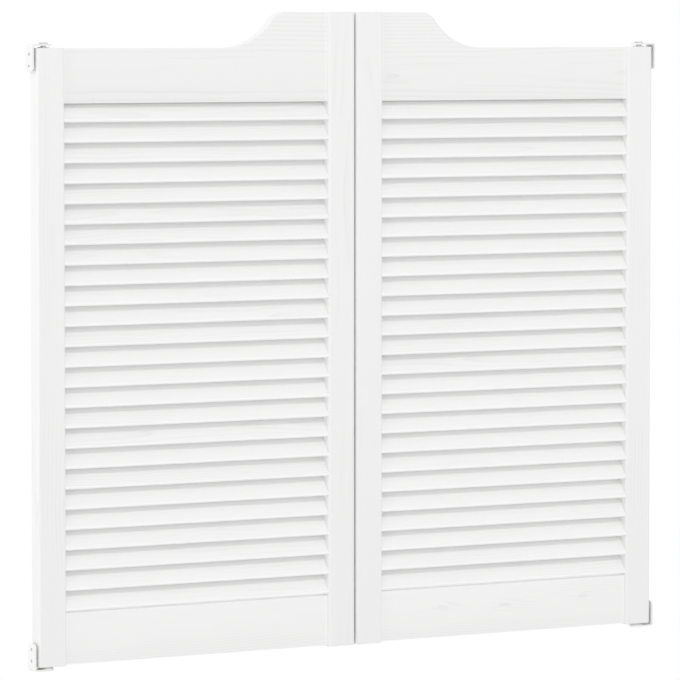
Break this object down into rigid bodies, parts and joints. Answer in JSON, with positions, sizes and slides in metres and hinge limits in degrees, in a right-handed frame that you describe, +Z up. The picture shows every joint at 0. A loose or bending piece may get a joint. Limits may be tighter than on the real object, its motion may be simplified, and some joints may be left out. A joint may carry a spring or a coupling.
{
  "type": "cafe swinging doors",
  "caption": "Pair of short louvred cafe doors with S-shaped shoulders that swing both ways and close by themselves on sprung pivots.",
  "frame": {"origin": "midway between the jambs and in the middle of the leaves' thickness, level with the underside of the lower brackets", "axes": "+X across the doorway to the right seen from the front, +Y through it from front to back, +Z up"},
  "size_m": [1.012, 0.025, 0.9055],
  "materials": {
    "painted_pine": "white satin paint over pine, grain faintly raised",
    "bracket_paint": "white powder coat on bent steel plate",
    "zinc_steel": "bright zinc plate",
    "spring_steel": "oiled spring steel",
    "nylon": "natural nylon"
  },
  "bodies": {
    "jamb_fittings": {"top_brackets": "bracket_paint", "bottom_brackets": "bracket_paint", "pivot_pins": "zinc_steel", "spindles": "zinc_steel", "thrust_washers": "nylon", "closing_springs": "spring_steel"},
    "left_leaf": {"left_outer_stile": "painted_pine", "left_meeting_stile": "painted_pine", "left_top_rail": "painted_pine", "left_bottom_rail": "painted_pine", "left_slats_1": "painted_pine", "left_slats_2": "painted_pine", "left_slats_3": "painted_pine", "left_slats_4": "painted_pine", "left_slats_5": "painted_pine", "left_pivot_bushes": "nylon", "left_spring_barrel": "zinc_steel"},
    "right_leaf": {"right_outer_stile": "painted_pine", "right_meeting_stile": "painted_pine", "right_top_rail": "painted_pine", "right_bottom_rail": "painted_pine", "right_slats_1": "painted_pine", "right_slats_2": "painted_pine", "right_slats_3": "painted_pine", "right_slats_4": "painted_pine", "right_slats_5": "painted_pine", "right_pivot_bushes": "nylon", "right_spring_barrel": "zinc_steel"}
  },
  "joints": [
    {"name": "left_leaf_swing", "type": "hinge", "parent": "jamb_fittings", "child": "left_leaf", "pos_m": [-0.484, 0, 0], "axis": [0, 0, 1], "range_deg": [-90, 90], "stiffness_Nm_per_rad": 1.5},
    {"name": "right_leaf_swing", "type": "hinge", "parent": "jamb_fittings", "child": "right_leaf", "pos_m": [0.484, 0, 0], "axis": [0, 0, 1], "range_deg": [-90, 90], "stiffness_Nm_per_rad": 1.5}
  ]
}
